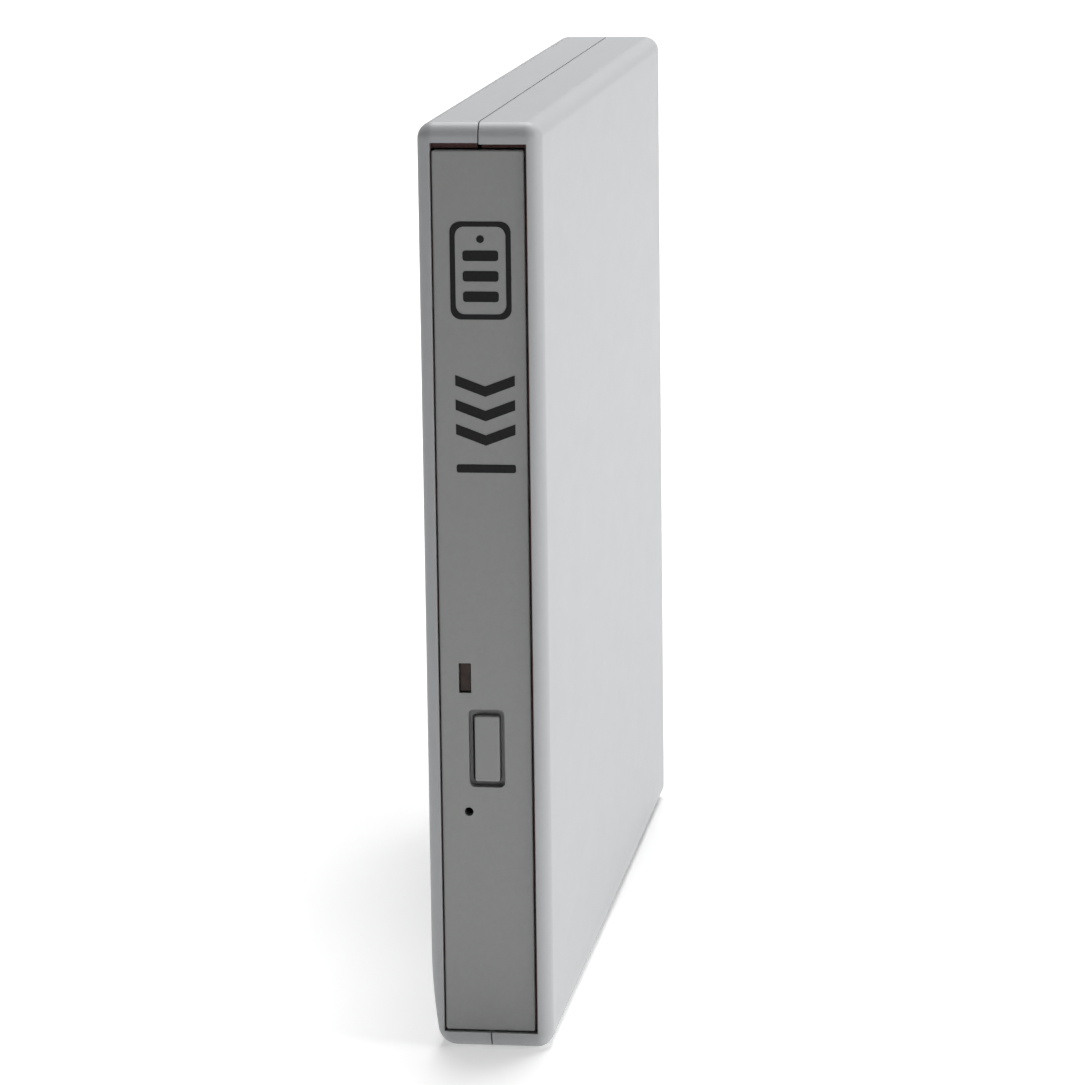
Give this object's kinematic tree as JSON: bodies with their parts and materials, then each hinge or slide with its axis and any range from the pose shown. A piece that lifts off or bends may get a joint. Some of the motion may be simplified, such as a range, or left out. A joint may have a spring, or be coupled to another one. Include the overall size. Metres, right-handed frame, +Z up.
{
  "type": "external optical disc drive",
  "caption": "Slim tray-loading disc drive in a flat plastic case standing on its edge, with a tray that slides out on telescoping rails.",
  "frame": {"origin": "centre of the bounding box at the edge that the case stands on", "axes": "+Z up; -Y out of the front, the way the tray opens; +X towards the side that is the top when the drive lies flat"},
  "size_m": [0.0184, 0.15, 0.1346],
  "materials": {
    "case_plastic": "fine satin texture, near white",
    "bezel_plastic": "fine satin texture",
    "button_plastic": "satin",
    "led_lens": "dark red brown, glossy",
    "tray_plastic": "fine matte grain",
    "steel_sheet": "zinc-plated sheet",
    "bright_steel": "bright machined",
    "black_steel": "black satin",
    "rail_plastic": "moulded",
    "board": "solder-masked laminate",
    "chip": "moulded package",
    "connector_plastic": "moulded",
    "jack_plastic": "moulded",
    "rubber": "matte",
    "brass": "machined",
    "lens_glass": "coated",
    "flex_film": "amber film"
  },
  "bodies": {
    "case": {"upper_case": "case_plastic", "lower_case": "case_plastic", "foot_front_right": "rubber", "foot_front_left": "rubber", "foot_back_right": "rubber", "foot_back_left": "rubber", "case_screw_right": "bright_steel", "case_screw_left": "bright_steel", "bridge_board": "board", "board_screw_right": "bright_steel", "board_screw_left": "bright_steel", "bridge_chip": "chip", "clock_crystal": "bright_steel", "smoothing_capacitor": "steel_sheet", "bridge_connector": "connector_plastic", "usb_socket_shell": "bright_steel", "usb_socket_tongue": "jack_plastic", "power_jack_body": "jack_plastic", "power_jack_pin": "bright_steel", "drive_chassis": "steel_sheet", "drive_top_cover": "steel_sheet", "connector_board": "board", "drive_connector": "connector_plastic", "lock_post": "bright_steel", "rail_guide_right": "rail_plastic", "rail_guide_left": "rail_plastic", "ejector_sleeve": "rail_plastic", "ejector_spring": "bright_steel", "flex_cable": "flex_film"},
    "rail_right": {"rail_right": "bright_steel"},
    "rail_left": {"rail_left": "bright_steel"},
    "ejector": {"ejector_plunger": "button_plastic"},
    "tray": {"tray": "tray_plastic", "front_bezel": "bezel_plastic", "led_lens": "led_lens", "eject_switch": "chip", "tray_shield": "steel_sheet", "main_board": "board", "controller_chip": "chip", "traverse_frame": "black_steel", "main_guide_rod": "bright_steel", "aux_guide_rod": "bright_steel", "deck_plate": "black_steel", "spindle_stator": "black_steel", "sled_motor": "bright_steel", "latch_pin": "bright_steel", "latch_solenoid": "steel_sheet"},
    "eject_button": {"eject_button": "button_plastic"},
    "spindle": {"spindle_rotor": "bright_steel", "turntable_ring": "rubber", "clamp_hub": "tray_plastic"},
    "claw_1": {"clamp_claw_1": "connector_plastic"},
    "claw_2": {"clamp_claw_2": "connector_plastic"},
    "claw_3": {"clamp_claw_3": "connector_plastic"},
    "sled": {"pickup_sled": "steel_sheet", "lens_actuator": "black_steel"},
    "lens": {"objective_lens": "lens_glass"},
    "lead_screw": {"lead_screw": "brass"},
    "latch": {"latch_lever": "button_plastic"},
    "solenoid_plunger": {"solenoid_plunger": "bright_steel"}
  },
  "joints": [
    {"name": "tray_slide", "type": "slide", "parent": "case", "child": "tray", "axis": [0, -1, 0], "range_m": [0, 0.128], "deforming": ["flex_cable"]},
    {"name": "rail_right_slide", "type": "slide", "parent": "case", "child": "rail_right", "axis": [0, -1, 0], "range_m": [0, 0.064]},
    {"name": "rail_left_slide", "type": "slide", "parent": "case", "child": "rail_left", "axis": [0, -1, 0], "range_m": [0, 0.064]},
    {"name": "ejector_slide", "type": "slide", "parent": "case", "child": "ejector", "axis": [0, -1, 0], "range_m": [0, 0.012], "deforming": ["ejector_spring"]},
    {"name": "eject_button_press", "type": "slide", "parent": "tray", "child": "eject_button", "axis": [0, 1, 0], "range_m": [0, 0.0006], "stiffness_N_per_m": 400},
    {"name": "spindle_spin", "type": "hinge", "parent": "tray", "child": "spindle", "pos_m": [0.00025, -0.009, 0.06667], "axis": [1, 0, 0], "continuous": true},
    {"name": "claw_1_retract", "type": "slide", "parent": "spindle", "child": "claw_1", "axis": [0, -0.7431, -0.6691], "range_m": [0, 0.0007], "stiffness_N_per_m": 100},
    {"name": "claw_2_retract", "type": "slide", "parent": "spindle", "child": "claw_2", "axis": [0, 0.9511, -0.309], "range_m": [0, 0.0007], "stiffness_N_per_m": 100},
    {"name": "claw_3_retract", "type": "slide", "parent": "spindle", "child": "claw_3", "axis": [0, -0.2079, 0.9781], "range_m": [0, 0.0007], "stiffness_N_per_m": 100},
    {"name": "sled_slide", "type": "slide", "parent": "tray", "child": "sled", "axis": [0, 0.7431, 0.6691], "range_m": [0, 0.0345]},
    {"name": "lens_focus", "type": "slide", "parent": "sled", "child": "lens", "axis": [1, 0, 0], "range_m": [-0.0005, 0.0005], "stiffness_N_per_m": 30},
    {"name": "lead_screw_turn", "type": "hinge", "parent": "tray", "child": "lead_screw", "pos_m": [-0.00215, -0.01328, 0.08637], "axis": [0, 0.7431, 0.6691], "range_deg": [0, 4200]},
    {"name": "latch_swing", "type": "hinge", "parent": "tray", "child": "latch", "pos_m": [-0.00255, -0.058, 0.037], "axis": [1, 0, 0], "range_deg": [-34, 0]},
    {"name": "solenoid_plunger_slide", "type": "slide", "parent": "tray", "child": "solenoid_plunger", "axis": [0, 1, 0], "range_m": [-0.00207, 0]}
  ],
  "couplings": [
    {"joint": "rail_right_slide", "follows": "tray_slide", "ratio": 0.5},
    {"joint": "rail_left_slide", "follows": "tray_slide", "ratio": 0.5},
    {"joint": "ejector_slide", "follows": "tray_slide", "ratio": 0.09375},
    {"joint": "lead_screw_turn", "follows": "sled_slide", "rad_per_m": 2094.4},
    {"joint": "latch_swing", "follows": "solenoid_plunger_slide", "rad_per_m": 285.71}
  ]
}
